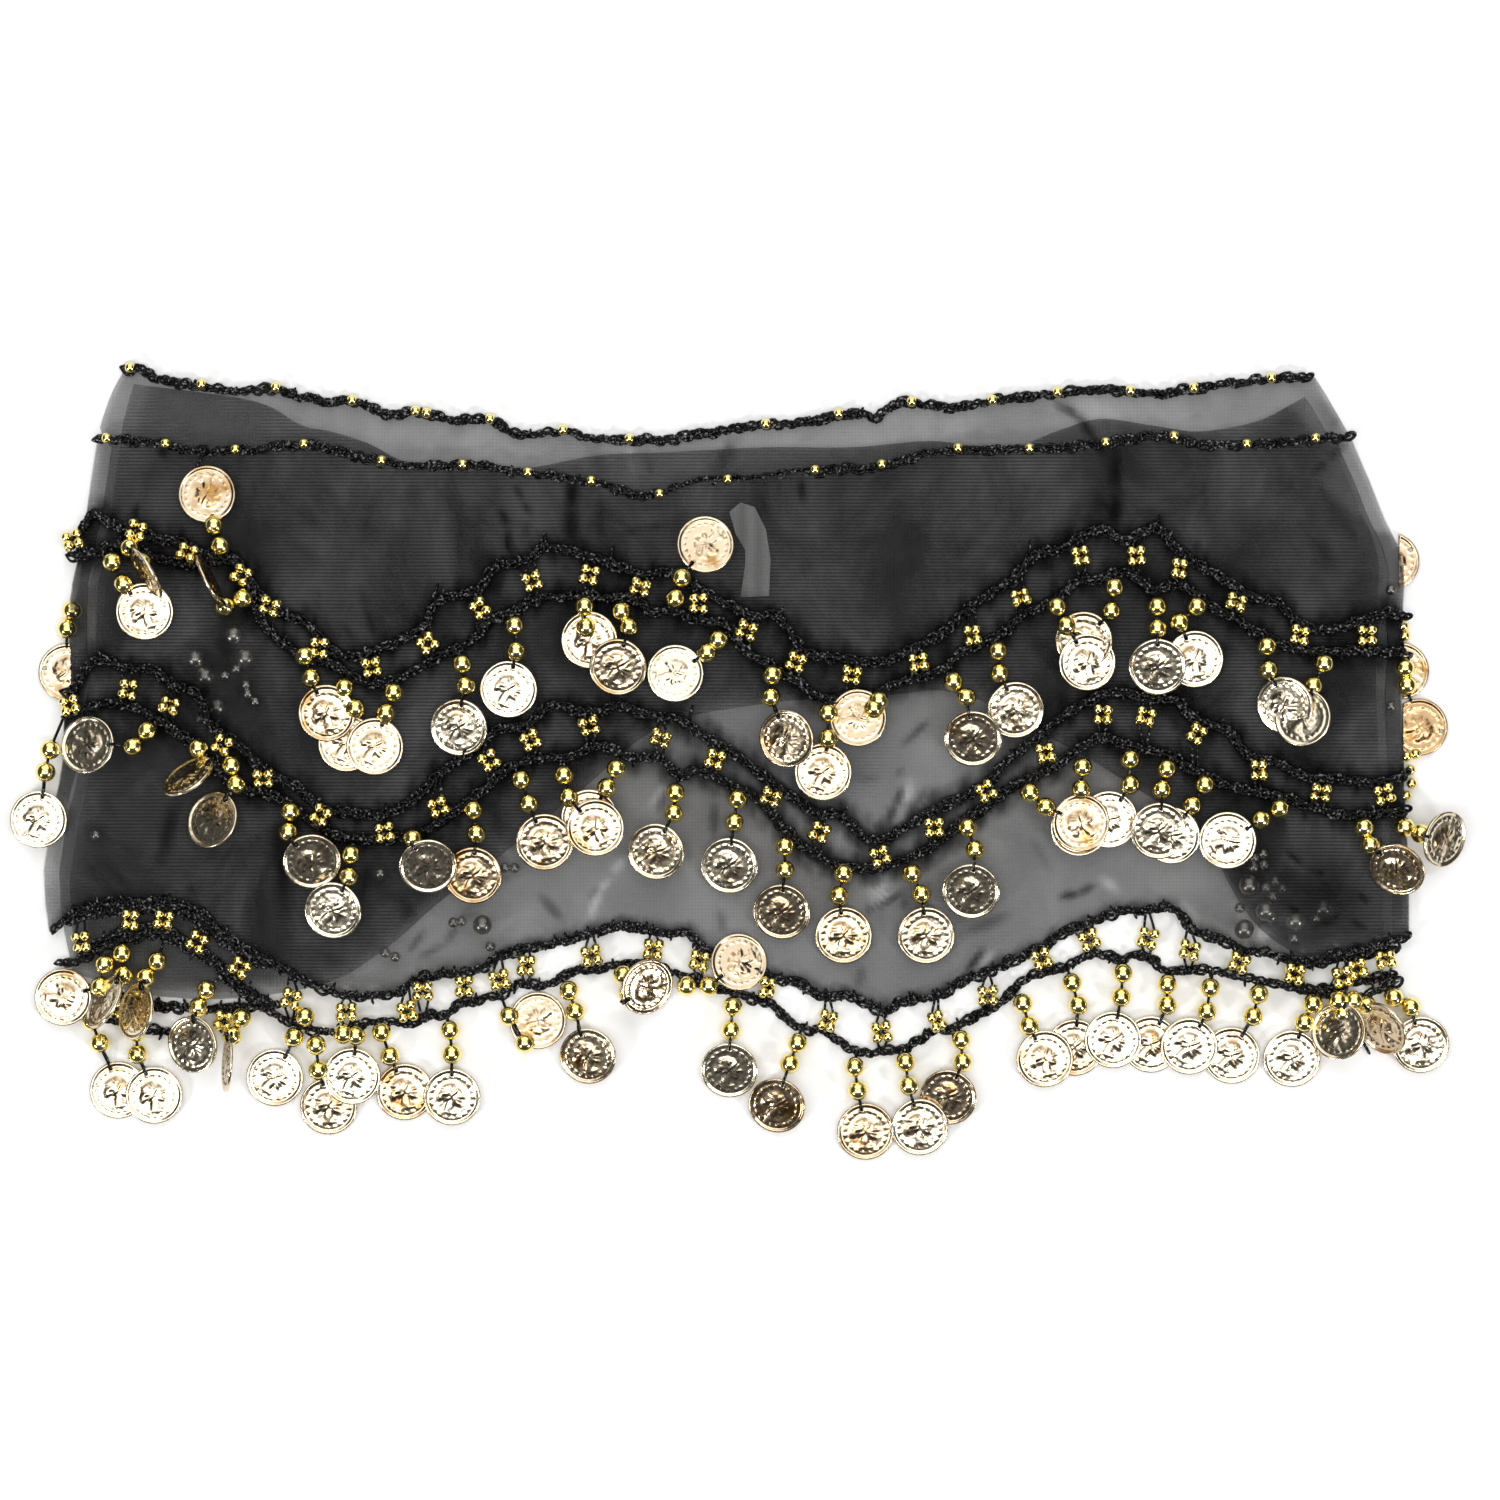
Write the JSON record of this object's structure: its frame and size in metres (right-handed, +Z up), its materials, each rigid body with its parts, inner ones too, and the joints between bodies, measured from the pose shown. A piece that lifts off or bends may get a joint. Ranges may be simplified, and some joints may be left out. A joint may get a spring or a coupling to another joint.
{
  "type": "belly dance hip scarf",
  "caption": "Sheer black chiffon hip scarf, laid flat and wound over itself, with crocheted edges and wavy rows of bead flowers, gold beads and stamped coins.",
  "frame": {"origin": "on the flat underside, under the upper half of the cloth, midway between its side folds", "axes": "+X along the scarf to its right end, +Y from the hem to the top edge, +Z up from the surface it lies on"},
  "size_m": [0.4603, 0.248, 0.0204],
  "materials": {
    "chiffon": "sheer, soft sheen",
    "thread": "matt crochet thread",
    "gold_trim": "polished",
    "label": "satin"
  },
  "bodies": {
    "root": {"inner_stretch": "chiffon", "back_stretch": "chiffon", "front_stretch": "chiffon", "care_label": "label", "back_top_cord": "thread", "front_top_cord": "thread", "row_1": "gold_trim", "row_2": "gold_trim", "row_3": "gold_trim", "back_trim_left": "gold_trim", "back_trim_right": "gold_trim", "side_coin_left": "gold_trim", "side_coin_right_upper": "gold_trim", "side_coin_right_lower": "gold_trim"}
  },
  "joints": []
}
